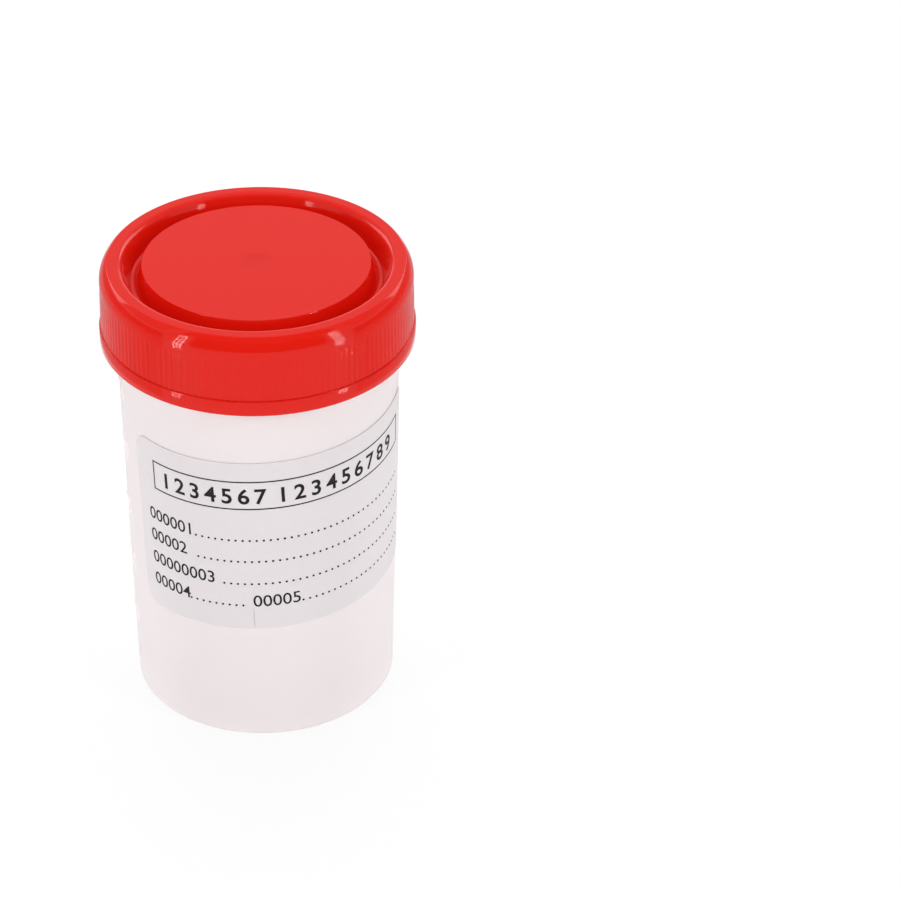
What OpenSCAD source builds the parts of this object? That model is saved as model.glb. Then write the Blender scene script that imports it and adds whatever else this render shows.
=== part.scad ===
// Screw-cap specimen container: a tapered moulded cup with a threaded neck,
// a ribbed screw cap with a plug seal, and a wrap-on writing label.
// Millimetres. The container stands on z = 0 with its axis on Z.
// The middle of the label faces -Y.

/* [Cup] */
// Outside diameter of the wall at the table
base_d = 37.5; // [34:0.5:45]
// Outside diameter of the wall at the collar
shoulder_d = 39.3; // [36:0.1:48]
// Height of the wall, from the table to the collar
body_h = 58; // [50:1:90]
// Thickness of the wall
wall_t = 1; // [0.8:0.1:1.2]
// Thickness of the floor
floor_t = 1.2; // [0.8:0.1:2]
// Outer radius where the wall meets the foot
foot_r = 0.6; // [0.2:0.1:1.5]
// Inner radius where the wall meets the floor
floor_r = 2.2; // [0.5:0.1:3]
// Width of the flat ring that the cup stands on
foot_w = 3.85; // [2:0.05:6]
// Height of the floor's raised middle above the foot
recess_h = 0.8; // [0.3:0.1:1.5]
// Diameter of the gate mark under the floor
gate_d = 1.8; // [1:0.1:3]
// Height of the gate mark
gate_h = 0.2; // [0.1:0.05:0.3]

/* [Neck] */
// Distance the collar stands out from the wall
collar_w = 0.6; // [0.3:0.1:0.8]
// Height of the collar
collar_h = 1.2; // [0.8:0.1:2]
// Height of the neck above the collar
neck_h = 7.5; // [6.5:0.5:14]
// Pitch of the single thread
thread_pitch = 3.6; // [3:0.1:4]
// Length of the thread in turns
thread_turns = 1.3; // [1:0.05:1.4]
// Depth of the thread, from root to crest
thread_depth = 0.65; // [0.4:0.05:0.8]
// Width of the thread at its root
thread_root_w = 1.7; // [1.2:0.1:2]
// Width of the thread at its crest
thread_crest_w = 0.7; // [0.4:0.1:1]
// Turn in degrees over which each end of the thread fades in
thread_fade = 24; // [12:2:40]

/* [Cap] */
// Thickness of the skirt at the plain band round its lower edge
skirt_t = 1.25; // [1:0.05:2.5]
// Distance the skirt reaches down past the top of the collar
skirt_drop = 2.8; // [1:0.2:6]
// Thickness of the rim that closes on the cup's mouth
rim_t = 1.2; // [0.8:0.1:2]
// Width of the cap's rounded edge, outside its flat rim
round_w = 1.05; // [0.6:0.05:1.4]
// Height of the cap's rounded edge
round_h = 2.7; // [1.5:0.1:3.5]
// Height of the plain band at the lower edge
band_h = 2.3; // [1:0.1:3]
// Distance the plain band stands out from the ribs above it
band_step = 0.2; // [0.1:0.05:0.3]
// Radius along both edges of the plain band
band_r = 0.15; // [0.05:0.05:0.3]
// Draft of the ribbed band on the diameter
grip_draft = 0.2; // [0:0.05:0.4]

/* [Grip] */
// Number of ribs round the cap
rib_count = 150; // [90:1:160]
// Depth of the valleys between the ribs
rib_depth = 0.15; // [0.1:0.01:0.35]
// Share of each rib's pitch that stays as its crest
rib_crest = 0.45; // [0.3:0.05:0.6]

/* [Plug seal] */
// Distance from the plug's outer face in to the channel's upper edge
plug_lip = 0.15; // [0.1:0.05:0.5]
// Distance the disc lies below the rim
disc_drop = 0.35; // [0:0.05:0.6]
// Thickness of the disc
disc_t = 1.2; // [0.8:0.1:2]
// Width of the open channel round the disc, at the top
channel_w = 2.65; // [2:0.05:4]
// Width of the channel at its floor
channel_floor_w = 0.7; // [0.5:0.05:1.2]
// Depth of the channel below the rim
channel_h = 3; // [2:0.1:4]
// Radius from the flat rim down into the channel
rim_round = 0.9; // [0.2:0.1:1.2]
// Radius along the disc's edge
disc_round = 0.25; // [0.1:0.05:0.4]
// Thickness of the plug's own walls and floor
plug_t = 1; // [0.8:0.1:1.2]
// Diameter of the shallow gate dimple on the disc
dimple_d = 4.4; // [2:0.2:6]
// Depth of the dimple
dimple_h = 0.12; // [0.05:0.01:0.3]

/* [Label] */
// Length of the label along the wall
label_l = 50; // [30:1:70]
// Height of the label
label_h = 28; // [15:1:35]
// Thickness of the label
label_t = 0.1; // [0.08:0.01:0.2]
// Radius of the label's corners
label_r = 2.5; // [0.5:0.1:4]
// Height of the label's lower edge above the table, at its middle
label_z = 19.6; // [10:0.2:25]
// Turn of the label from level, with its end at +X higher
label_tilt = 2.6; // [-3:0.1:3]

/* [Graduations] */
// Millilitres between two marks on the metric side
metric_step = 10; // [5:5:10]
// Millilitres between two marks on the other side: half a fluid ounce
ounce_step = 14.79; // [14.2:0.01:14.79]
// Gap along the wall between the label and the scale's upright line
scale_gap = 12; // [8:0.5:20]
// Length of a mark
mark_l = 3.9; // [2:0.1:6]
// Width of each raised line
mark_w = 0.35; // [0.25:0.05:0.6]
// Height that each mark stands out from the wall
mark_t = 0.12; // [0.1:0.01:0.3]
// Extra height of the upright line over the marks that run into it
line_extra_t = 0.03; // [0.02:0.01:0.1]
// Length of the upright line below the lowest mark
line_tail = 0.2; // [0.1:0.1:2]

/* [Fits] */
// Gap between the cup's mouth and the underside of the rim
seat_gap = 0.1; // [0.05:0.05:0.3]
// Radial gap between the plug and the cup's mouth
plug_gap = 0.15; // [0.1:0.05:0.3]
// Radial gap between the thread's crest or the collar and the skirt
skirt_gap = 0.35; // [0.3:0.05:0.6]
// Gap between the label and the wall, filled by its adhesive
glue_gap = 0.02; // [0.01:0.01:0.05]

/* [Hidden] */
$fn = 96;

EPS = 0.01;                  // overlap that keeps a cut or a union clean
ARC_STEPS = 8;               // straight steps in a rounded corner
THREAD_STEP = 6;             // degrees between two sections of the thread
THREAD_SINK = 0.3;           // depth of the thread's root inside the neck wall
LABEL_STEPS = 16;            // straight steps along the label between its corners

base_r = base_d / 2;
shoulder_r = shoulder_d / 2;
draft = (shoulder_r - base_r) / body_h;
function wall_r(z) = base_r + draft * min(z, body_h);

// Neck: its outside follows the wall, and its bore is the cup's own inside.
neck_r = shoulder_r;
mouth_r = neck_r - wall_t;
neck_z = body_h + collar_h;
cup_h = neck_z + neck_h;
collar_r = shoulder_r + collar_w;
crest_r = neck_r + thread_depth;

// Cap: stands on the mouth, and its skirt clears the collar and the thread.
top_z = cup_h + seat_gap + rim_t;
skirt_z = neck_z - skirt_drop;
skirt_bore_r = max(collar_r, crest_r) + skirt_gap;
cap_r = skirt_bore_r + skirt_t;
grip_low_r = cap_r - band_step;
grip_high_r = grip_low_r - grip_draft / 2;
grip_low_z = skirt_z + band_h;
grip_high_z = top_z - round_h;
valley_r = grip_high_r - rib_depth;
rim_r = grip_high_r - round_w;

// Plug: a channel from above, with a wall of even thickness below it.
plug_r = mouth_r - plug_gap;
channel_r = plug_r - plug_lip;
disc_r = channel_r - channel_w;
channel_lean = (channel_w - channel_floor_w) / 2 / channel_h;
plug_low_z = top_z - channel_h - plug_t;

// An arc of ARC_STEPS straight steps about centre c, from angle a to b.
function arc(c, r, a, b) =
    [for (i = [0 : ARC_STEPS]) c + r * [cos(a + (b - a) * i / ARC_STEPS),
                                        sin(a + (b - a) * i / ARC_STEPS)]];

// Volumes in the cup: a cone above the low ring of the floor, less the raised
// middle. fill_z gives the height above the table at which it holds v ml.
recess_r = base_r - foot_r - foot_w - recess_h;
low_r = wall_r(floor_t) - wall_t;
high_r = shoulder_r - wall_t;
raised_ml = PI * pow(recess_r, 2) * recess_h / 1000;
wall_ml = PI * (body_h - floor_t) * (low_r * low_r + low_r * high_r + high_r * high_r) / 3000
          - raised_ml;
function fill_z(v) =
    let (cone = 3000 / PI * (v + raised_ml),
         r = pow(pow(low_r, 3) + draft * cone, 1 / 3))
    floor_t + cone / (low_r * low_r + low_r * r + r * r);

// ---- Cup ----

// Half section of the cup, drawn once round from the middle of its underside.
module cup_section() {
    plateau_r = recess_r + floor_t * tan(22.5);
    floor_side_r = wall_r(floor_t + floor_r) - wall_t;
    lip = wall_t / 2;
    polygon(concat(
        [[0, recess_h], [recess_r, recess_h], [recess_r + recess_h, 0]],
        arc([wall_r(foot_r) - foot_r, foot_r], foot_r, -90, 0),
        [[shoulder_r, body_h]],
        arc([collar_r - collar_h / 4, body_h + collar_h / 4], collar_h / 4, -90, 0),
        arc([collar_r - collar_h / 4, neck_z - collar_h / 4], collar_h / 4, 0, 90),
        [[neck_r, neck_z]],
        arc([mouth_r + lip, cup_h - lip], lip, 0, 180),
        [[mouth_r, body_h]],
        arc([floor_side_r - floor_r, floor_t + floor_r], floor_r, 0, -90),
        [[plateau_r + recess_h, floor_t],
         [plateau_r, floor_t + recess_h],
         [0, floor_t + recess_h]]));
}

// Solid through a row of sections with four corners each, closed at both ends.
module skin(sections) {
    last = 4 * (len(sections) - 1);
    sides = [for (i = [0 : len(sections) - 2]) for (k = [0 : 3])
        let (p = 4 * i + k, q = 4 * i + (k + 1) % 4)
        each [[p, q, p + 4], [q, q + 4, p + 4]]];
    ends = [[2, 1, 0], [3, 2, 0],
            [last, last + 1, last + 2], [last, last + 2, last + 3]];
    polyhedron([for (s = sections) each s], concat(sides, ends));
}

// Section of the thread at an angle round the neck: its middle is at height z,
// and its crest stands depth outside the neck.
function thread_section(angle, z, depth) =
    let (root = neck_r - THREAD_SINK, crest = neck_r + depth,
         low = thread_root_w / 2, high = thread_crest_w / 2)
    [for (p = [[root, -low], [crest, -high], [crest, high], [root, low]])
        [p[0] * cos(angle), p[0] * sin(angle), z + p[1]]];

// Single thread, swept up the neck as one skin that fades in at both ends.
module thread() {
    sweep = 360 * thread_turns;
    steps = ceil(sweep / THREAD_STEP);
    rise = thread_pitch * thread_turns;
    start_z = neck_z + (neck_h - rise) / 2;
    function fade(a) = min(1, a / thread_fade, (sweep - a) / thread_fade);
    skin([for (i = [0 : steps])
        let (a = sweep * i / steps)
        thread_section(a, start_z + rise * i / steps,
                       thread_depth * fade(a) - THREAD_SINK / 2 * (1 - fade(a)))]);
}

// Strip t high on the wall, from angle a over sweep degrees, low to high.
module wall_strip(a, sweep, low, high, t) {
    rotate([0, 0, a])
        rotate_extrude(angle = sweep)
            polygon([[wall_r(low) - wall_t / 2, low],
                     [wall_r(low) + t, low],
                     [wall_r(high) + t, high],
                     [wall_r(high) - wall_t / 2, high]]);
}

// Upright line with metric marks on the label's side, ounces on the other.
module graduations() {
    mid_r = wall_r(body_h / 2);
    line_sweep = mark_w / mid_r * 180 / PI;
    mark_sweep = mark_l / mid_r * 180 / PI;
    line_a = -90 - (label_l / 2 + scale_gap) / mid_r * 180 / PI;
    line_low_z = fill_z(metric_step) - mark_w / 2 - line_tail;
    wall_strip(line_a - line_sweep / 2, line_sweep, line_low_z, body_h + EPS,
               mark_t + line_extra_t);
    for (i = [1 : floor(wall_ml / metric_step)]) {
        z = fill_z(i * metric_step);
        wall_strip(line_a, mark_sweep, z - mark_w / 2, z + mark_w / 2, mark_t);
    }
    for (i = [1 : floor(wall_ml / ounce_step)]) {
        z = fill_z(i * ounce_step);
        wall_strip(line_a - mark_sweep, mark_sweep, z - mark_w / 2, z + mark_w / 2, mark_t);
    }
}

// Cup with its collar, neck, thread and raised scale, one moulding.
module cup() color("mistyrose") {
    rotate_extrude() cup_section();
    thread();
    graduations();
    translate([0, 0, recess_h - gate_h]) cylinder(d = gate_d, h = gate_h + floor_t / 2);
}

// ---- Cap ----

// Half section of the cap's outside, from the axis over the top to the skirt.
function cap_outside() =
    let (disc_z = top_z - disc_drop,
         floor_z = top_z - channel_h,
         lean = channel_lean * channel_h,
         corner = channel_floor_w / 3)
    concat(
        [[0, disc_z - dimple_h], [dimple_d / 2 - dimple_h * 2, disc_z - dimple_h],
         [dimple_d / 2, disc_z]],
        arc([disc_r - disc_round, disc_z - disc_round], disc_round, 90, 20),
        [[disc_r + lean - corner / 4, floor_z + corner]],
        [[disc_r + lean + corner, floor_z], [channel_r - lean - corner, floor_z]],
        [[channel_r - lean + corner / 4, floor_z + corner]],
        arc([channel_r + rim_round, top_z - rim_round], rim_round, 160, 90),
        // The rounded edge is a quarter of an ellipse, tight at the rim.
        [for (i = [0 : ARC_STEPS])
            let (a = 90 - 90 * i / ARC_STEPS)
            [rim_r + round_w * cos(a), grip_high_z + round_h * sin(a)]],
        [[grip_low_r, grip_low_z]],
        arc([cap_r - band_r, grip_low_z - band_r], band_r, 90, 0),
        arc([cap_r - band_r, skirt_z + band_r], band_r, 0, -90));

// Half section of its inside, from the skirt's lower edge back to the axis.
function cap_inside() =
    let (roof_z = top_z - rim_t,
         disc_low_z = top_z - disc_drop - disc_t,
         lead = plug_t * 0.6,
         lean = channel_lean * channel_h,
         side_r = disc_r - plug_t)
    [[skirt_bore_r, skirt_z],
     [skirt_bore_r, roof_z],
     [plug_r, roof_z],
     [plug_r, plug_low_z + lead * 1.5],
     [plug_r - lead, plug_low_z],
     [side_r + lean + lead / 2, plug_low_z],
     [side_r + lean, plug_low_z + lead / 2],
     [side_r, disc_low_z],
     [0, disc_low_z]];

// Valleys between the ribs: a ring outside a star with one point a rib.
module rib_valleys() {
    pitch = 360 / rib_count;
    outer_r = cap_r + 1;
    crest_top_r = cap_r + 0.5;
    half_valley = pitch * (1 - rib_crest) / 2;
    // The valley's sides run straight from its root out past the crest.
    flare = (crest_top_r - valley_r) / (grip_high_r - valley_r);
    half_open = min(half_valley * flare, pitch / 2 - EPS);
    translate([0, 0, grip_low_z])
        linear_extrude(height = grip_high_z - grip_low_z)
            difference() {
                circle(r = outer_r);
                polygon([for (i = [0 : rib_count - 1])
                    let (a = i * pitch)
                    each [valley_r * [cos(a), sin(a)],
                          crest_top_r * [cos(a + half_open), sin(a + half_open)],
                          crest_top_r * [cos(a + pitch - half_open), sin(a + pitch - half_open)]]]);
            }
}

// Ribbed cap with its channel and plug seal, one moulding.
module screw_cap() color("crimson") {
    difference() {
        rotate_extrude() polygon(concat(cap_outside(), cap_inside()));
        rib_valleys();
    }
}

// ---- Label ----

// Section across the label at a length from its middle, half high each way. It
// is turned by the tilt and laid on the wall, and reaches 1 mm to either side.
function label_section(length, half) =
    let (mid_z = label_z + label_h / 2)
    [for (p = [[-half, -1], [-half, 1], [half, 1], [half, -1]])
        let (along = length * cos(label_tilt) - p[0] * sin(label_tilt),
             up = length * sin(label_tilt) + p[0] * cos(label_tilt),
             // A straight label climbs the tapered wall towards its ends.
             z = mid_z + up + pow(along, 2) * draft / 2 / wall_r(mid_z),
             a = along / wall_r(z) * 180 / PI - 90)
        [(wall_r(z) + p[1]) * cos(a), (wall_r(z) + p[1]) * sin(a), z]];

// Solid through the wall with the label's outline and its round corners.
module label_outline() {
    half_l = label_l / 2;
    half_h = label_h / 2;
    corner = [for (i = [0 : ARC_STEPS])
        let (a = 90 * i / ARC_STEPS)
        [half_l - label_r * (1 - cos(a)), half_h - label_r * (1 - sin(a))]];
    middle = [for (i = [1 : LABEL_STEPS - 1])
        (half_l - label_r) * (2 * i / LABEL_STEPS - 1)];
    skin(concat([for (p = corner) label_section(-p[0], p[1])],
                [for (u = middle) label_section(u, half_h)],
                [for (i = [0 : ARC_STEPS])
                    let (p = corner[ARC_STEPS - i])
                    label_section(p[0], p[1])]));
}

// Thin label that follows the wall's cone.
module label() color("lavenderblush") {
    slack = label_l / 2 * sin(abs(label_tilt)) + 2;
    low = label_z - slack;
    high = label_z + label_h + slack;
    sweep = (label_l + 2 * slack) / wall_r(label_z) * 180 / PI;
    intersection() {
        rotate([0, 0, -90 - sweep / 2])
            rotate_extrude(angle = sweep)
                polygon([[wall_r(low) + glue_gap, low],
                         [wall_r(low) + glue_gap + label_t, low],
                         [wall_r(high) + glue_gap + label_t, high],
                         [wall_r(high) + glue_gap, high]]);
        label_outline();
    }
}

cup();
screw_cap();
label();
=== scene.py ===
"""Looks of a screw-cap specimen container: moulded cup, ribbed cap, printed label.

Sizes are in millimetres and become metres in mesh_from. Angles are azimuths in
degrees about the container's axis: 0 faces -Y, the middle of the label, and 90 faces +X.
"""

import math

import bmesh
import bpy
from mathutils import Matrix, Vector


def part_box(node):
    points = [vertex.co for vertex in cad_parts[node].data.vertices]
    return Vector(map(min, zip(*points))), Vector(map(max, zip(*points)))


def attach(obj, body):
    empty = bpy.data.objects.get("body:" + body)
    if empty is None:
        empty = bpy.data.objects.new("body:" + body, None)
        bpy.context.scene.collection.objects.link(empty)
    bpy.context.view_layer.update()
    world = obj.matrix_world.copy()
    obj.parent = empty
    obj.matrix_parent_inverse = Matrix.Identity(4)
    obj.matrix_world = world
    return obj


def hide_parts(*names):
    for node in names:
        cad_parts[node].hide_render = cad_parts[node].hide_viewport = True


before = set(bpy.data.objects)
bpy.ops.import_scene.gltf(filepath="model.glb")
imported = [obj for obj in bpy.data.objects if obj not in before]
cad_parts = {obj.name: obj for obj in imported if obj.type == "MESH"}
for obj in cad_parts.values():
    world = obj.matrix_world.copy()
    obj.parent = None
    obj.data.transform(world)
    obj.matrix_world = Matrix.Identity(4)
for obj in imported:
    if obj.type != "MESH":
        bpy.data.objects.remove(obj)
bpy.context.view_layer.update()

MM = 0.001


def frame_mm(node):
    """Lowest and highest corner of a CAD node, in millimetres."""
    low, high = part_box(node)
    return Vector(low) / MM, Vector(high) / MM


# ---------------------------------------------------------------- sizes

CUP_HIGH = frame_mm("cup")[1]
CAP_LOW, CAP_HIGH = frame_mm("screw_cap")

CUP_TOP = CUP_HIGH.z
CAP_TOP = CAP_HIGH.z
CAP_EDGE = CAP_LOW.z
CAP_R = CAP_HIGH.x

# Cup
BASE_R = 18.75
SHOULDER_R = 19.65
BODY_TOP = 58.0
WALL = 1.0
FLOOR = 1.2
FOOT_R = 0.6
FOOT_W = 3.85
RECESS = 0.8
FLOOR_FILLET = 2.2
COLLAR_W = 0.6
COLLAR_H = 1.2
RAISED_R = 14.0           # the floor's middle is raised within this radius
NECK_FOOT = BODY_TOP + COLLAR_H
MOUTH_R = SHOULDER_R - WALL
DRAFT = (SHOULDER_R - BASE_R) / BODY_TOP

# Thread, shared by the neck and the cap
PITCH = 3.6
TURNS = 1.3
THREAD_DEPTH = 0.65
THREAD_ROOT = 1.7
THREAD_CREST = 0.7
THREAD_FADE = 24.0        # degrees over which it rises at each end
THREAD_START = NECK_FOOT + (CUP_TOP - NECK_FOOT - PITCH * TURNS) / 2
CAP_THREAD_DEPTH = 0.55
CAP_THREAD_GAP = 0.15     # between the collar's top and the cap's thread
# Where the cap's thread, half a pitch below the neck's, is clear of the collar
CAP_THREAD_FIRST = 360.0 * (NECK_FOOT + CAP_THREAD_GAP + THREAD_ROOT / 2
                            - THREAD_START + PITCH / 2) / PITCH

# Cap
RIM_T = 1.2
ROUND_W = 0.98
ROUND_H = 3.0
EDGE_ROUND = 0.18         # the crisp edge round the rim
EDGE_TURN = 43.0          # how far the surface turns in that edge
BAND_H = 2.3
BAND_STEP = 0.2
GRIP_DRAFT = 0.1
RIBS = 150
RIB_DEPTH = 0.045
PLUG_R = MOUTH_R - 0.15
CHANNEL_R = PLUG_R - 0.15
DISC_R = CHANNEL_R - 2.65
DISC_DROP = 0.35
DISC_T = 1.2
CHANNEL_H = 3.0
CHANNEL_LEAN = 0.975
PLUG_T = 1.0
SKIRT_BORE = SHOULDER_R + THREAD_DEPTH + 0.35
GATE_R = 2.2
GATE_DEEP = 0.03
GATE_STEPS = 6
GATE_STEP = 0.15          # width of one step of the gate mark's slope
RIM_ROUND = 0.9
RIM_START = 160.0         # where the rim's inner round leaves the channel's wall
RIB_FADE = 0.4            # height over which the ribs run out at their top
BAND_ROUND = 0.15
FOOT_ROUND = 0.25
HOLD = 0.06               # a row this close to a flat face's end keeps the face flat

# Label: a straight strip, laid on the wall with one end higher
LABEL_L = 50.0
LABEL_H = 28.0
LABEL_CORNER = 2.5
LABEL_MID_Z = 33.6
LABEL_TILT = 2.6
LABEL_IN = 0.02
LABEL_OUT = 0.12
INK_T = 0.02
MID_R = 19.2              # radius at which widths of the moulded scale are true


def wall_r(z):
    """Outer radius of the cup's tapered wall at height z."""
    return BASE_R + DRAFT * min(z, BODY_TOP)


def polar(angle, r, z):
    """Point at an azimuth in degrees."""
    a = math.radians(angle)
    return (r * math.sin(a), -r * math.cos(a), z)


def on_wall(x, z, out):
    """Point on the wall, x along it from the label's middle, raised by out."""
    return polar(math.degrees(x / MID_R), wall_r(z) + out, z)


def on_label(x, up, out):
    """Point on the label, x along it and up from its middle, raised from the wall by out.

    A straight strip climbs the tapered wall a little towards its ends.
    """
    tilt = math.radians(LABEL_TILT)
    along = x * math.cos(tilt) - up * math.sin(tilt)
    climb = along ** 2 * DRAFT / 2 / wall_r(LABEL_MID_Z)
    z = LABEL_MID_Z + x * math.sin(tilt) + up * math.cos(tilt) + climb
    return polar(math.degrees(along / wall_r(z)), wall_r(z) + out, z)


# ---------------------------------------------------------------- mesh makers

def mesh_from(name, points, faces, material, smooth_angle=35.0):
    """Piece from points in millimetres, smooth except over sharp edges."""
    mesh = bpy.data.meshes.new(name)
    mesh.from_pydata([Vector(p) * MM for p in points], [], faces)
    mesh.validate()
    mesh.materials.append(material)
    mesh.shade_smooth()
    mesh.set_sharp_from_angle(angle=math.radians(smooth_angle))
    piece = bpy.data.objects.new(name, mesh)
    bpy.context.scene.collection.objects.link(piece)
    return piece


def weld(mesh):
    """Joins points that lie on each other, which closes a mesh made from a curve."""
    work = bmesh.new()
    work.from_mesh(mesh)
    bmesh.ops.remove_doubles(work, verts=work.verts, dist=1e-5)
    work.to_mesh(mesh)
    work.free()


def arc(centre, r, start, end, steps):
    """Points of an arc in the (radius, height) plane, angles in degrees."""
    out = []
    for i in range(steps + 1):
        a = math.radians(start + (end - start) * i / steps)
        out.append((centre[0] + r * math.cos(a), centre[1] + r * math.sin(a)))
    return out


def line(p, q, steps):
    """Points after p up to and including q, evenly spaced."""
    return [(p[0] + (q[0] - p[0]) * i / steps, p[1] + (q[1] - p[1]) * i / steps)
            for i in range(1, steps + 1)]


def revolve(profile, segments, shape):
    """Points and faces of a closed profile turned about the axis.

    shape(angle, r, z) may move a point in or out. The profile runs from the axis
    below, round the outside and back to the axis above, so that faces look outwards.
    """
    rows = profile[1:-1]
    points = [(0, 0, profile[0][1]), (0, 0, profile[-1][1])]
    for r, z in rows:
        for i in range(segments):
            angle = 360.0 * i / segments
            points.append(polar(angle, shape(angle, r, z), z))
    faces = []
    for i in range(segments):
        j = (i + 1) % segments
        faces.append((0, 2 + j, 2 + i))
        last = 2 + (len(rows) - 1) * segments
        faces.append((1, last + i, last + j))
        for row in range(len(rows) - 1):
            a = 2 + row * segments
            b = a + segments
            faces.append((a + i, a + j, b + j, b + i))
    return points, faces


def smoothstep(x):
    """0 below 0, 1 above 1, smooth between."""
    x = min(1.0, max(0.0, x))
    return x * x * (3 - 2 * x)


def thread_height(angle, z, first=0.0):
    """How far the thread stands out at an azimuth and height, 0 to 1.

    first is where it starts, in degrees along the neck's thread.
    """
    best = 0.0
    for turn in range(math.ceil(TURNS) + 1):
        run = angle + 360.0 * turn
        if run > 360.0 * TURNS:
            break
        fade = min(1.0, (run - first) / THREAD_FADE,
                   (360.0 * TURNS - run) / THREAD_FADE)
        off = abs(z - THREAD_START - PITCH * run / 360.0)
        side = (THREAD_ROOT / 2 - off) / ((THREAD_ROOT - THREAD_CREST) / 2)
        best = max(best, smoothstep(side) * smoothstep(fade))
    return best


# ---------------------------------------------------------------- materials

def linear(hex_colour):
    """Linear RGBA of an sRGB hex colour."""
    out = []
    for i in (1, 3, 5):
        c = int(hex_colour[i:i + 2], 16) / 255
        out.append(c / 12.92 if c <= 0.04045 else ((c + 0.055) / 1.055) ** 2.4)
    return (*out, 1.0)


def add_node(tree, kind, settings=None, links=None):
    """Adds a node: settings are sockets or properties, links are its inputs."""
    node = tree.nodes.new(kind)
    for key, value in (settings or {}).items():
        if key in node.inputs:
            node.inputs[key].default_value = value
        else:
            setattr(node, key, value)
    for key, source in (links or {}).items():
        tree.links.new(source, node.inputs[key])
    return node


def new_material(name):
    """Empty material with its tree, shader and place coordinates."""
    material = bpy.data.materials.new(name)
    material.use_nodes = True
    tree = material.node_tree
    shader = tree.nodes["Principled BSDF"]
    place = add_node(tree, "ShaderNodeTexCoord").outputs["Object"]
    return material, tree, shader, place


def mould_grain(tree, shader, place, grain_mm, depth_mm, wave_mm, wave_depth_mm):
    """Fine mould texture over the slow unevenness of a moulded wall."""
    grain = add_node(tree, "ShaderNodeTexNoise",
                     {"Scale": 1 / (grain_mm * MM), "Detail": 3.0}, {"Vector": place})
    wave = add_node(tree, "ShaderNodeTexNoise",
                    {"Scale": 1 / (wave_mm * MM), "Detail": 1.0}, {"Vector": place})
    slow = add_node(tree, "ShaderNodeBump",
                    {"Strength": 1.0, "Distance": wave_depth_mm * MM},
                    {"Height": wave.outputs["Fac"]})
    fine = add_node(tree, "ShaderNodeBump",
                    {"Strength": 1.0, "Distance": depth_mm * MM},
                    {"Height": grain.outputs["Fac"], "Normal": slow.outputs["Normal"]})
    tree.links.new(fine.outputs["Normal"], shader.inputs["Normal"])


POLYPROPYLENE_IOR = 1.49


def natural_polypropylene(name, clear):
    """Natural polypropylene, moulded: milky, light passes through it softened."""
    material, tree, shader, place = new_material(name)
    shader.inputs["Base Color"].default_value = linear("#fdf4f5")
    shader.inputs["IOR"].default_value = POLYPROPYLENE_IOR
    shader.inputs["Roughness"].default_value = 0.5
    shader.inputs["Transmission Weight"].default_value = clear
    mould_grain(tree, shader, place, 0.5, 0.004, 9.0, 0.03)
    return material


def natural_inner():
    """Inside of the cup: the same plastic, polished by the core, and clear at its skin."""
    material, _, shader, _ = new_material("natural polypropylene polished inside")
    shader.inputs["Base Color"].default_value = linear("#fdfafa")
    shader.inputs["IOR"].default_value = POLYPROPYLENE_IOR
    shader.inputs["Roughness"].default_value = 0.25
    shader.inputs["Transmission Weight"].default_value = 0.45
    return material


GATE_BLUR = 0.7           # the painted shade round the gate ends over this, both ways


def red_polypropylene():
    """Red polypropylene, moulded: full colour, glossy, a shade darker round the gate, painted
    shade that stands in for the gate mark's duller reflection.
    """
    material, tree, shader, place = new_material("red polypropylene moulded")
    across = add_node(tree, "ShaderNodeVectorMath", {"operation": "MULTIPLY"})
    tree.links.new(place, across.inputs[0])
    across.inputs[1].default_value = (1, 1, 0)
    from_axis = add_node(tree, "ShaderNodeVectorMath", {"operation": "LENGTH"})
    tree.links.new(across.outputs["Vector"], from_axis.inputs[0])
    gate = add_node(tree, "ShaderNodeMapRange",
                    {"interpolation_type": "SMOOTHSTEP",
                     "From Min": (GATE_R - GATE_BLUR) * MM,
                     "From Max": (GATE_R + GATE_BLUR) * MM,
                     "To Min": 1.0, "To Max": 0.0},
                    {"Value": from_axis.outputs["Value"]})
    # Painted shade: the darker red round the gate stands in for the gate mark's duller
    # reflection
    tint = add_node(tree, "ShaderNodeMix",
                    {"data_type": "RGBA", "A": linear("#da1708"), "B": linear("#d51508")},
                    {"Factor": gate.outputs["Result"]})
    tree.links.new(tint.outputs["Result"], shader.inputs["Base Color"])
    shader.inputs["IOR"].default_value = POLYPROPYLENE_IOR
    shader.inputs["Specular IOR Level"].default_value = 0.25
    shader.inputs["Roughness"].default_value = 0.065
    mould_grain(tree, shader, place, 0.35, 0.0006, 7.0, 0.008)
    return material


def label_paper():
    """Coated label paper: matt, faintly grey beside the cup."""
    material, tree, shader, place = new_material("label paper coated")
    fibre = add_node(tree, "ShaderNodeTexNoise",
                     {"Scale": 1 / (0.6 * MM), "Detail": 4.0}, {"Vector": place})
    tint = add_node(tree, "ShaderNodeMix",
                    {"data_type": "RGBA", "A": linear("#dbd5d7"), "B": linear("#ded8da")},
                    {"Factor": fibre.outputs["Fac"]})
    tree.links.new(tint.outputs["Result"], shader.inputs["Base Color"])
    shader.inputs["Roughness"].default_value = 0.5
    return material


def printing_ink():
    """Black printing ink: a dense matt film."""
    material, _, shader, _ = new_material("printing ink black")
    shader.inputs["Base Color"].default_value = linear("#141013")
    shader.inputs["Specular IOR Level"].default_value = 0.25
    shader.inputs["Roughness"].default_value = 0.55
    return material


FLOOR_SHOWN_WHITE = 0.87  # the rest of what is seen is the paper's own shade


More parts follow.
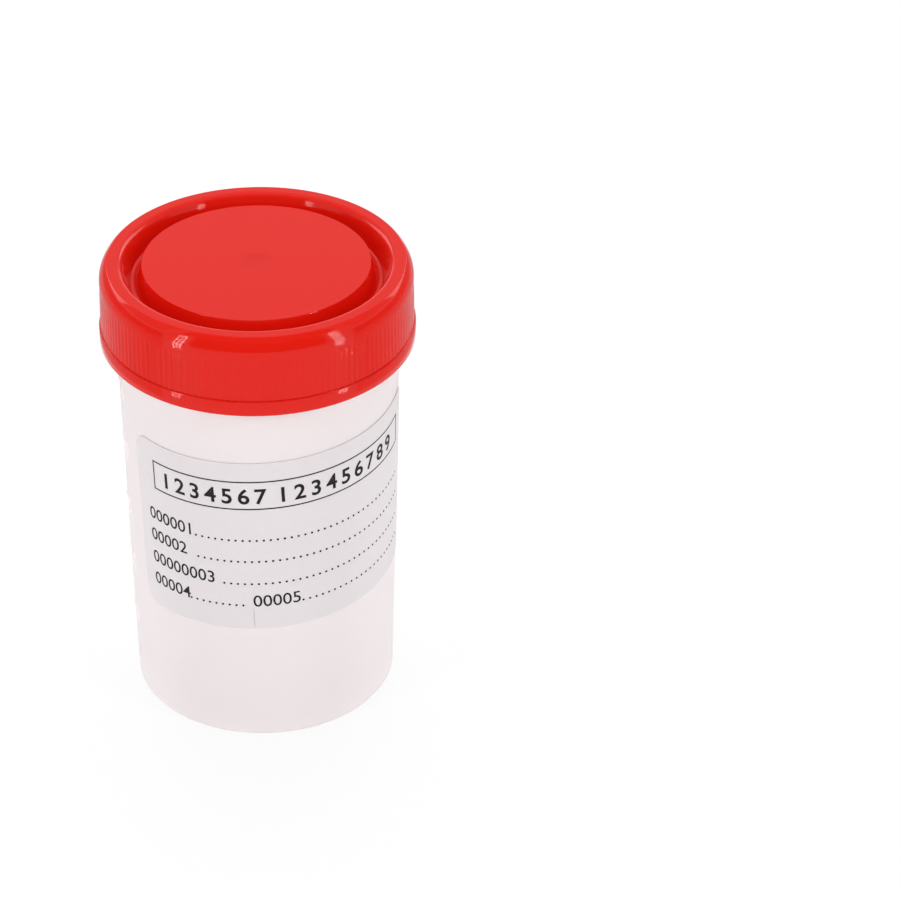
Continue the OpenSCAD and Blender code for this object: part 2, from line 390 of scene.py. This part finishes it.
def studio_white():
    """White paper: plain white where it is seen, with some of its own soft shade."""
    material, tree, shader, _ = new_material("studio paper white")
    shader.inputs["Base Color"].default_value = linear("#f7f7f7")
    shader.inputs["Roughness"].default_value = 1.0
    shader.inputs["Specular IOR Level"].default_value = 0.0
    share = add_node(tree, "ShaderNodeMath", {"operation": "MULTIPLY"})
    tree.links.new(background_share(tree), share.inputs[0])
    share.inputs[1].default_value = FLOOR_SHOWN_WHITE
    glow = add_node(tree, "ShaderNodeEmission", {"Color": (1, 1, 1, 1), "Strength": 1.0})
    mix = add_node(tree, "ShaderNodeMixShader", {}, {"Fac": share.outputs[0]})
    tree.links.new(shader.outputs[0], mix.inputs[1])
    tree.links.new(glow.outputs[0], mix.inputs[2])
    tree.links.new(mix.outputs[0], tree.nodes["Material Output"].inputs["Surface"])
    return material


NATURAL = natural_polypropylene("natural polypropylene moulded", 0.22)
NATURAL_MARKS = natural_polypropylene("natural polypropylene raised marks", 0.0)
NATURAL_INNER = natural_inner()
RED = red_polypropylene()
PAPER = label_paper()
INK = printing_ink()


# ---------------------------------------------------------------- cup

def cup_profile():
    """Section of the cup from the middle of its underside round to its floor."""
    recess_r = BASE_R - FOOT_R - FOOT_W - RECESS
    plateau_r = recess_r + FLOOR * math.tan(math.radians(22.5))
    side_r = wall_r(FLOOR + FLOOR_FILLET) - WALL
    edge = COLLAR_H / 4
    collar_r = SHOULDER_R + COLLAR_W
    lip = WALL / 2
    out = [(0, RECESS - 0.2), (0.7, RECESS - 0.2), (0.9, RECESS - 0.1), (0.95, RECESS)]
    out += line(out[-1], (recess_r - 0.2, RECESS), 3)
    out += line(out[-1], (recess_r + 0.1, RECESS - 0.1), 1)
    out += line(out[-1], (recess_r + RECESS - 0.1, 0.1), 2)
    out += line(out[-1], (recess_r + RECESS + 0.2, 0), 1)
    out += arc((wall_r(FOOT_R) - FOOT_R, FOOT_R), FOOT_R, -90, 0, 6)
    out += line(out[-1], (wall_r(BODY_TOP - 0.3), BODY_TOP - 0.3), 12)
    out += arc((collar_r - edge, BODY_TOP + edge), edge, -90, 0, 4)
    out += arc((collar_r - edge, NECK_FOOT - edge), edge, 0, 90, 4)
    out += [(SHOULDER_R + 0.1, NECK_FOOT), (SHOULDER_R, NECK_FOOT + 0.1)]
    out += line(out[-1], (SHOULDER_R, CUP_TOP - lip), 56)
    out += arc((MOUTH_R + lip, CUP_TOP - lip), lip, 0, 180, 10)[1:]
    out += line(out[-1], (MOUTH_R, BODY_TOP), 4)
    out += line(out[-1], (side_r, FLOOR + FLOOR_FILLET), 12)
    fillet_mid = (side_r - FLOOR_FILLET, FLOOR + FLOOR_FILLET)
    out += arc(fillet_mid, FLOOR_FILLET, 0, -90, 8)[1:]
    out += line(out[-1], (plateau_r + RECESS, FLOOR), 1)
    out += line(out[-1], (plateau_r, FLOOR + RECESS), 2)
    out += line(out[-1], (0, FLOOR + RECESS), 3)
    return out


def neck_shape(angle, r, z):
    """Raises the thread on the outside of the neck."""
    outside = r > SHOULDER_R - 0.01 and NECK_FOOT + 0.1 < z < CUP_TOP - 0.55
    return r + THREAD_DEPTH * thread_height(angle, z) if outside else r


def faces_inside(centre):
    """Whether a face with this centre belongs to the inside of the cup."""
    r = math.hypot(centre.x, centre.y)
    middle_of_floor = FLOOR / 2 + (RECESS if r < RAISED_R else 0.0)
    return r < wall_r(centre.z) - WALL / 2 and centre.z > middle_of_floor


CUP_SEGMENTS = 384

cup = mesh_from("cup_moulding", *revolve(cup_profile(), CUP_SEGMENTS, neck_shape), NATURAL)
cup.data.materials.append(NATURAL_INNER)
for face in cup.data.polygons:
    if faces_inside(face.center / MM):
        face.material_index = 1
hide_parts("cup")
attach(cup, "vessel")


# ---------------------------------------------------------------- cap

SEGMENTS_A_RIB = 5
RIB_SHAPE = (0.0, 0.3, 0.9, 0.9, 0.3)


def rounded_edge(rim_r, grip_r, grip_z):
    """From the flat rim over its crisp edge and down a round that ends in the grip."""
    start = 90 - EDGE_TURN
    out = arc((rim_r - EDGE_ROUND, CAP_TOP - EDGE_ROUND), EDGE_ROUND, 90, start, 4)
    r = (grip_r - out[-1][0]) / (1 - math.cos(math.radians(start)))
    z = out[-1][1] - r * math.sin(math.radians(start))
    out += arc((grip_r - r, z), r, start, 0, 14)[1:]
    return out + line(out[-1], (grip_r, grip_z), 2)


def cap_profile():
    """Section of the cap from the gate mark over the rim and back inside."""
    disc_z = CAP_TOP - DISC_DROP
    floor_z = CAP_TOP - CHANNEL_H
    low_z = CAP_EDGE
    grip_low = low_z + BAND_H
    grip_high = CAP_TOP - ROUND_H
    grip_low_r = CAP_R - BAND_STEP
    grip_high_r = grip_low_r - GRIP_DRAFT
    rim_r = grip_high_r - ROUND_W
    roof = CAP_TOP - RIM_T
    plug_z = floor_z - PLUG_T
    side_r = DISC_R - PLUG_T
    disc_low = disc_z - DISC_T
    gate_z = disc_z - GATE_DEEP
    inner_foot = DISC_R + CHANNEL_LEAN
    outer_foot = CHANNEL_R - CHANNEL_LEAN
    under_foot = side_r + CHANNEL_LEAN
    out = [(0, gate_z)]
    for i in range(GATE_STEPS + 1):
        out.append((GATE_R - GATE_STEP * (GATE_STEPS - i),
                    gate_z + GATE_DEEP * smoothstep(i / GATE_STEPS)))
    out.append((GATE_R + HOLD, disc_z))
    out += line(out[-1], (DISC_R - HOLD, disc_z), 2)
    out.append((DISC_R, disc_z))
    out += line(out[-1], (inner_foot - 0.1, floor_z + 0.35), 2)
    out += [(inner_foot + 0.02, floor_z + 0.1), (inner_foot + 0.15, floor_z)]
    out += [(outer_foot - 0.15, floor_z), (outer_foot - 0.02, floor_z + 0.1)]
    out += [(outer_foot + 0.1, floor_z + 0.35)]
    rim_in = (CHANNEL_R + RIM_ROUND, CAP_TOP - RIM_ROUND)
    round_in = arc(rim_in, RIM_ROUND, RIM_START, 90, 10)
    out += line(out[-1], round_in[0], 2) + round_in[1:]
    out += [(out[-1][0] + HOLD, CAP_TOP), (rim_r - EDGE_ROUND - HOLD, CAP_TOP)]
    out += rounded_edge(rim_r, grip_high_r, grip_high)
    out += line(out[-1], (grip_high_r + 0.01, grip_high - 0.4), 3)
    out += line(out[-1], (grip_low_r, grip_low), 4)
    out += arc((CAP_R - BAND_ROUND, grip_low - BAND_ROUND), BAND_ROUND, 90, 0, 3)
    out += arc((CAP_R - FOOT_ROUND, low_z + FOOT_ROUND), FOOT_ROUND, 0, -90, 4)
    out += [(SKIRT_BORE + 0.15, low_z), (SKIRT_BORE, low_z + 0.15)]
    out += line(out[-1], (SKIRT_BORE, roof - 0.1), 28)
    out += [(SKIRT_BORE - 0.1, roof), (PLUG_R + 0.1, roof), (PLUG_R, roof - 0.1)]
    out += line(out[-1], (PLUG_R, plug_z + 0.9), 1)
    out += [(PLUG_R - 0.5, plug_z + 0.1), (PLUG_R - 0.65, plug_z)]
    out += [(under_foot + 0.35, plug_z), (under_foot + 0.1, plug_z + 0.15),
            (under_foot, plug_z + 0.35)]
    out += line(out[-1], (side_r, disc_low - 0.1), 2)
    out += [(side_r - 0.1, disc_low), (0, disc_low)]
    return out


def cap_shape(angle, r, z):
    """Cuts the valleys between the ribs, and raises the thread in the skirt."""
    grip_low = CAP_EDGE + BAND_H
    grip_high = CAP_TOP - ROUND_H
    if r > CAP_R - BAND_STEP - GRIP_DRAFT - 0.02 and grip_low - 0.001 <= z <= grip_high:
        step = round(angle / 360.0 * RIBS * SEGMENTS_A_RIB) % SEGMENTS_A_RIB
        fade = smoothstep((grip_high - z) / RIB_FADE)
        return r - RIB_DEPTH * RIB_SHAPE[step] * fade
    if abs(r - SKIRT_BORE) < 0.01:
        return r - CAP_THREAD_DEPTH * cap_thread(angle, z)
    return r


def cap_thread(angle, z):
    """The cap's thread: the neck's, half a pitch lower, begun above the collar."""
    return thread_height(angle, z + PITCH / 2, CAP_THREAD_FIRST)


cap = mesh_from("cap_moulding",
                *revolve(cap_profile()[::-1], RIBS * SEGMENTS_A_RIB, cap_shape), RED, 50.0)
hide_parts("screw_cap")
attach(cap, "closure")


# ---------------------------------------------------------------- label

def wall_patch(place, columns, heights, low_out, high_out, rows=1):
    """Closed thin patch laid by place(x, up, out). heights(x) gives its two edges at x."""
    points = []
    for x in columns:
        z0, z1 = heights(x)
        for out in (low_out, high_out):
            for k in range(rows + 1):
                points.append(place(x, z0 + (z1 - z0) * k / rows, out))
    n = rows + 1
    faces = []
    for i in range(len(columns) - 1):
        a = i * 2 * n
        b = a + 2 * n
        for k in range(rows):
            faces.append((a + k, a + k + 1, b + k + 1, b + k))
            faces.append((a + n + k, b + n + k, b + n + k + 1, a + n + k + 1))
        faces.append((a, b, b + n, a + n))
        faces.append((a + rows, a + n + rows, b + n + rows, b + rows))
    end = (len(columns) - 1) * 2 * n
    for k in range(rows):
        faces.append((k, n + k, n + k + 1, k + 1))
        faces.append((end + k, end + k + 1, end + n + k + 1, end + n + k))
    return points, faces


def label_columns():
    """Places along the label where its outline turns, close at the corners."""
    corner = [LABEL_CORNER * (1 - math.cos(math.radians(90 * i / 8))) for i in range(9)]
    left = [-LABEL_L / 2 + c for c in corner]
    right = [-x for x in reversed(left)]
    gap = (right[0] - left[-1]) / 96
    middle = [left[-1] + gap * i for i in range(1, 96)]
    return left + middle + right


def label_edges(x):
    """Lower and upper edge of the label at x, with round corners."""
    into = max(0.0, LABEL_CORNER - (LABEL_L / 2 - abs(x)))
    cut = LABEL_CORNER - math.sqrt(max(0.0, LABEL_CORNER ** 2 - into ** 2))
    return cut - LABEL_H / 2, LABEL_H / 2 - cut


label = mesh_from("label_sheet",
                  *wall_patch(on_label, label_columns(), label_edges, LABEL_IN, LABEL_OUT, 8),
                  PAPER)
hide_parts("label")
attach(label, "vessel")


# ---------------------------------------------------------------- print

DIGIT_TALL = 0.729        # height of the font's digits at size 1


class Marks:
    """Gathers thin marks laid by place(x, up, out) into one piece."""

    def __init__(self, place, low_out, high_out):
        self.place, self.low_out, self.high_out = place, low_out, high_out
        self.points, self.faces = [], []

    def add(self, points, faces):
        """Adds one mark's points and faces."""
        start = len(self.points)
        self.points += points
        self.faces += [tuple(v + start for v in f) for f in faces]

    def bar(self, x0, x1, z0, z1):
        """Bar, split along the wall so that it follows the curve."""
        steps = max(1, math.ceil((x1 - x0) / 0.8))
        columns = [x0 + (x1 - x0) * i / steps for i in range(steps + 1)]
        self.add(*wall_patch(self.place, columns, lambda x: (z0, z1),
                             self.low_out, self.high_out))

    def box(self, x0, x1, z0, z1, w):
        """Outline of a box between its outer edges, w wide."""
        self.bar(x0, x1, z0, z0 + w)
        self.bar(x0, x1, z1 - w, z1)
        self.bar(x0, x0 + w, z0 + w, z1 - w)
        self.bar(x1 - w, x1, z0 + w, z1 - w)

    def dot(self, x, z, r):
        """Round dot."""
        sides = 12
        turns = [math.tau * i / sides for i in range(sides)]
        ring = [(x + r * math.cos(a), z + r * math.sin(a)) for a in turns]
        points = [self.place(u, v, self.low_out) for u, v in ring]
        points += [self.place(u, v, self.high_out) for u, v in ring]
        faces = [tuple(range(sides - 1, -1, -1)), tuple(range(sides, 2 * sides))]
        for i in range(sides):
            j = (i + 1) % sides
            faces.append((i, j, sides + j, sides + i))
        self.add(points, faces)

    def number(self, text, x, z, height, weight=0.0, room=0.0, from_right=False):
        """Plain number from x, up to x if from_right, or centred in the room after x."""
        curve = bpy.data.curves.new("number", "FONT")
        curve.body = text
        curve.extrude = 0.5
        curve.offset = weight
        curve.resolution_u = 6
        holder = bpy.data.objects.new("number", curve)
        bpy.context.scene.collection.objects.link(holder)
        flat = bpy.data.meshes.new_from_object(
            holder.evaluated_get(bpy.context.evaluated_depsgraph_get()))
        weld(flat)
        xs = [v.co.x for v in flat.vertices]
        scale = height / DIGIT_TALL
        width = (max(xs) - min(xs)) * scale
        left = x - width if from_right else x + max(0.0, room - width) / 2
        points = []
        for v in flat.vertices:
            out = self.high_out if v.co.z > 0 else self.low_out
            x_here = left + (v.co.x - min(xs)) * scale
            points.append(self.place(x_here, z + v.co.y * scale, out))
        self.add(points, [tuple(p.vertices) for p in flat.polygons])
        bpy.data.objects.remove(holder)
        bpy.data.curves.remove(curve)
        bpy.data.meshes.remove(flat)

    def piece(self, name, material):
        """One piece of all the marks."""
        return mesh_from(name, self.points, self.faces, material)


FRAME_X = (-21.2, 21.1)
FRAME_Z = (6.35, 11.03)
FRAME_W = 0.2
CODE_FOOT = 7.38
CODE_H = 2.5
CODE_PITCH = 2.36
CODE = (("1234567", -19.9), ("123456789", -2.7))
CODE_WEIGHT = 0.018
NUMBER_H = 2.0
NUMBER_WEIGHT = 0.004
INK_SINK = 0.01           # how far the ink reaches into the paper
DOT_R = 0.17
DOT_PITCH = 0.968
FOLD_X = -6.75
FOLD_W = 0.012
FOLD_TOP = -10.5
# Each line: its number, where that starts, its height, its dots' start and end
LINES = (
    ("000001", -22.7, 1.14, -14.3, 21.0),
    ("00002", -22.7, -2.45, -14.2, 21.0),
    ("00000003", -22.7, -6.27, -10.6, 21.0),
    ("00004", -22.7, -9.98, -15.9, -7.9),
    ("00005", -6.7, -9.98, 0.3, 21.0),
)


def print_label():
    """Framed row of bold plain digits, and numbered lines of dots to write on."""
    ink = Marks(on_label, LABEL_OUT - INK_SINK, LABEL_OUT + INK_T)
    ink.box(*FRAME_X, *FRAME_Z, FRAME_W)
    for digits, start in CODE:
        for i, digit in enumerate(digits):
            ink.number(digit, start + CODE_PITCH * i, CODE_FOOT, CODE_H,
                       CODE_WEIGHT, CODE_PITCH)
    for text, start, z, dots_start, dots_end in LINES:
        ink.number(text, start, z - DOT_R, NUMBER_H, NUMBER_WEIGHT)
        x = dots_start
        while x < dots_end:
            ink.dot(x, z, DOT_R)
            x += DOT_PITCH
    ink.bar(FOLD_X - FOLD_W / 2, FOLD_X + FOLD_W / 2, -LABEL_H / 2 + 0.1, FOLD_TOP)
    return ink.piece("label_print", INK)


ink_piece = print_label()
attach(ink_piece, "vessel")


# ---------------------------------------------------------------- scale

SCALE_GAP = 12.0          # from the label's end
SCALE_X = -LABEL_L / 2 - SCALE_GAP
MARK_L = 3.9
MARK_W = 0.35
MARK_T = 0.12
MARK_SINK = 0.03          # how far the marks reach into the wall
DIGIT_T = 0.05
DIGIT_H = 2.7
DIGIT_GAP = 0.5           # between a mark's end and its number
DIGIT_WEIGHT = 0.012
MILLILITRES = (10, 20, 30, 40, 50)
# Fluid ounces, each with its millilitres
OUNCES = ((".5", 14.79), ("1", 29.57), ("1.5", 44.36))


def fill_z(ml):
    """Height at which the cup holds ml millilitres."""
    low_r = wall_r(FLOOR) - WALL
    recess_r = BASE_R - FOOT_R - FOOT_W - RECESS
    cone = 3000 / math.pi * (ml + math.pi * recess_r ** 2 * RECESS / 1000)
    r = (low_r ** 3 + DRAFT * cone) ** (1 / 3)
    return FLOOR + cone / (low_r ** 2 + low_r * r + r ** 2)


def mould_scale():
    """Raised upright line with its marks and plain numbers."""
    ridge = Marks(on_wall, -MARK_SINK, MARK_T)
    digits = Marks(on_wall, -MARK_SINK, DIGIT_T)
    half = MARK_W / 2
    reach = MARK_L + DIGIT_GAP
    ridge.bar(SCALE_X - half, SCALE_X + half, fill_z(MILLILITRES[0]) - half, BODY_TOP)
    for ml in MILLILITRES:
        z = fill_z(ml)
        ridge.bar(SCALE_X + half, SCALE_X + MARK_L, z - half, z + half)
        digits.number(str(ml), SCALE_X + reach, z - DIGIT_H / 2, DIGIT_H, DIGIT_WEIGHT)
    for text, ml in OUNCES:
        z = fill_z(ml)
        ridge.bar(SCALE_X - MARK_L, SCALE_X - half, z - half, z + half)
        digits.number(text, SCALE_X - reach, z - DIGIT_H / 2, DIGIT_H, DIGIT_WEIGHT,
                      from_right=True)
    ridge.add(digits.points, digits.faces)
    return ridge.piece("moulded_scale", NATURAL_MARKS)


scale_piece = mould_scale()
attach(scale_piece, "vessel")


# ---------------------------------------------------------------- camera

SENSOR_MM = 36.0
LENS_MM = 125.94
CAMERA_TURN = -13.89      # azimuth of the camera about the container's axis
CAMERA_REACH = 374.65     # horizontal distance from the axis, mm
CAMERA_HEIGHT = 284.12    # above the table, mm
CAMERA_HEADING = -18.0    # turn of its line of sight from +Y, towards +X when negative
CAMERA_PITCH = 33.466     # down from level
CAMERA_ROLL = 0.7706


def place_camera():
    """Camera at its place, turned, tilted and rolled as the numbers above say."""
    camera = bpy.data.objects.new("camera", bpy.data.cameras.new("camera"))
    camera.data.lens = LENS_MM
    camera.data.sensor_width = SENSOR_MM
    camera.data.clip_start = 0.01
    camera.data.clip_end = 20.0
    turn = Matrix.Rotation(math.radians(CAMERA_HEADING), 4, "Z")
    tilt = Matrix.Rotation(math.radians(90 - CAMERA_PITCH), 4, "X")
    roll = Matrix.Rotation(math.radians(CAMERA_ROLL), 4, "Z")
    place = Vector(polar(CAMERA_TURN, CAMERA_REACH, CAMERA_HEIGHT)) * MM
    camera.matrix_world = Matrix.Translation(place) @ turn @ tilt @ roll
    bpy.context.scene.collection.objects.link(camera)
    bpy.context.scene.camera = camera


# ---------------------------------------------------------------- light

LAMP_AIM = Vector((0, 0, 0.035))
ROOM_LIGHT = 0.485        # the white room's strength as a light
FLOOR_SIZE = 6.0          # metres


def soft_lamp(name, azimuth, elevation, reach, width, height, watts):
    """Rectangular lamp at an azimuth and elevation, facing the container.

    It lights the surfaces and leaves no glint on them: the cards do that.
    """
    data = bpy.data.lights.new(name, "AREA")
    data.shape = "RECTANGLE"
    data.size, data.size_y = width, height
    data.energy = watts
    lamp = bpy.data.objects.new(name, data)
    e = math.radians(elevation)
    place = LAMP_AIM + Vector(polar(azimuth, reach * math.cos(e), reach * math.sin(e)))
    lamp.location = place
    lamp.rotation_euler = (place - LAMP_AIM).to_track_quat("Z", "Y").to_euler()
    lamp.visible_camera = False
    lamp.visible_transmission = False
    lamp.visible_glossy = False
    bpy.context.scene.collection.objects.link(lamp)


def background_share(tree):
    """1 for the rays that see, mirror or look through to the white background."""
    path = add_node(tree, "ShaderNodeLightPath")
    seen = add_node(tree, "ShaderNodeMath", {"operation": "MAXIMUM"})
    tree.links.new(path.outputs["Is Camera Ray"], seen.inputs[0])
    tree.links.new(path.outputs["Is Transmission Ray"], seen.inputs[1])
    either = add_node(tree, "ShaderNodeMath", {"operation": "MAXIMUM"})
    tree.links.new(seen.outputs[0], either.inputs[0])
    tree.links.new(path.outputs["Is Glossy Ray"], either.inputs[1])
    return either.outputs[0]


def white_world(strength):
    """Plain white room: full white where it is seen, softer as a light."""
    world = bpy.data.worlds.new("studio")
    bpy.context.scene.world = world
    world.use_nodes = True
    tree = world.node_tree
    tree.nodes.clear()
    lit = add_node(tree, "ShaderNodeBackground",
                   {"Color": (1, 1, 1, 1), "Strength": strength})
    white = add_node(tree, "ShaderNodeBackground",
                     {"Color": (1, 1, 1, 1), "Strength": 1.0})
    mix = add_node(tree, "ShaderNodeMixShader", {}, {"Fac": background_share(tree)})
    tree.links.new(lit.outputs[0], mix.inputs[1])
    tree.links.new(white.outputs[0], mix.inputs[2])
    add_node(tree, "ShaderNodeOutputWorld", {}, {"Surface": mix.outputs[0]})


def studio_floor():
    """Sheet of paper under the container, white but for its soft shadow."""
    half = FLOOR_SIZE / 2
    corners = [(-half, -half, 0), (half, -half, 0), (half, half, 0), (-half, half, 0)]
    mesh = bpy.data.meshes.new("studio_floor")
    mesh.from_pydata(corners, [], [(0, 1, 2, 3)])
    mesh.materials.append(studio_white())
    floor = bpy.data.objects.new("studio_floor", mesh)
    bpy.context.scene.collection.objects.link(floor)


def mirrored_strip(name, shade, pairs):
    """Strip of card that only mirrors see, shade times as bright as white paper."""
    material, tree, shader, _ = new_material(name)
    tree.nodes.remove(shader)
    glow = add_node(tree, "ShaderNodeEmission", {"Color": (1, 1, 1, 1), "Strength": shade})
    tree.links.new(glow.outputs[0], tree.nodes["Material Output"].inputs["Surface"])
    mesh = bpy.data.meshes.new(name)
    faces = [(2 * i, 2 * i + 2, 2 * i + 3, 2 * i + 1) for i in range(len(pairs) - 1)]
    mesh.from_pydata([Vector(p) for pair in pairs for p in pair], [], faces)
    mesh.materials.append(material)
    card = bpy.data.objects.new(name, mesh)
    card.visible_camera = False
    card.visible_diffuse = False
    card.visible_transmission = False
    card.visible_shadow = False
    bpy.context.scene.collection.objects.link(card)


CARD_STEPS = 12


def mirrored_card(name, shade, azimuth, half_turn, low, high):
    """Curved card; low and high are its edges' distance from the axis and height."""
    pairs = []
    for i in range(CARD_STEPS + 1):
        turn = azimuth - half_turn + 2 * half_turn * i / CARD_STEPS
        pairs.append((polar(turn, *low), polar(turn, *high)))
    mirrored_strip(name, shade, pairs)


def bright_tube(name, sign, shift):
    """Thin bent tube of a side lamp, on the camera's left (-1) or right (1)."""
    pairs = []
    for turn, height in TUBE:
        middle = CAMERA_TURN + sign * turn + shift
        pairs.append((polar(middle - TUBE_W / 2, TUBE_REACH, height),
                      polar(middle + TUBE_W / 2, TUBE_REACH, height)))
    mirrored_strip(name, TUBE_SHADE, pairs)


LAMP_TURN = 56.0          # azimuth of the side lamps from the camera's
TUBE_GAP = 2.3            # between the lamps' bright tubes, degrees
TUBE_W = 0.7              # a tube's width, degrees
TUBE_REACH = 0.1          # a tube's distance from the axis, metres
TUBE_SHADE = 20.0
# A tube's azimuth from the camera's and its height, from foot to top
TUBE = ((54.8, 0.017), (52.0, 0.044), (49.3, 0.072), (49.2, 0.094), (50.0, 0.112))

# Cards that mirrors see: name, shade, azimuth from the camera's, half their turn,
# then their lower and upper edge's distance from the axis and height, in metres
SIDE_CARDS = (
    ("side_card", 0.3, 112, 45, (0.5, 0.0), (0.5, 0.16)),
    ("table_card", 0.55, 112, 45, (0.1, 0.0005), (0.5, 0.0005)),
    ("back_panel", 3.2, 132, 20, (0.55, 0.2), (0.55, 0.45)),
)
MIDDLE_CARDS = (
    ("camera_side_card", 0.2, 0, 46, (0.4, 0.0), (0.4, 0.32)),
    ("camera_side_upper_card", 0.35, 0, 60, (0.4, 0.32), (0.4, 1.2)),
    ("far_side_upper_card", 0.7, 180, 110, (0.6, 0.26), (0.6, 1.2)),
)


def place_lamps():
    """A lamp on each side with its tubes and cards, then one above and one behind."""
    for side, sign in (("left", -1), ("right", 1)):
        soft_lamp(side + "_lamp", CAMERA_TURN + sign * LAMP_TURN, elevation=8, reach=0.9,
                  width=0.07, height=1.1, watts=4.8)
        for i in (-1, 0, 1):
            bright_tube("%s_tube_%d" % (side, i + 2), sign, TUBE_GAP * i)
        for name, shade, turn, half_turn, low, high in SIDE_CARDS:
            mirrored_card(side + "_" + name, shade, CAMERA_TURN + sign * turn, half_turn,
                          low, high)
    soft_lamp("top_lamp", CAMERA_TURN + 180, elevation=75, reach=0.9,
              width=0.6, height=0.6, watts=3.7)
    soft_lamp("back_lamp", CAMERA_TURN + 180, elevation=20, reach=0.9,
              width=1.2, height=0.6, watts=2.4)


def place_middle_cards():
    """Cards before and behind the container, that the cap and cup mirror."""
    for name, shade, turn, half_turn, low, high in MIDDLE_CARDS:
        mirrored_card(name, shade, CAMERA_TURN + turn, half_turn, low, high)


place_camera()
white_world(ROOM_LIGHT)
studio_floor()
place_lamps()
place_middle_cards()

bpy.context.scene.view_settings.view_transform = "Standard"
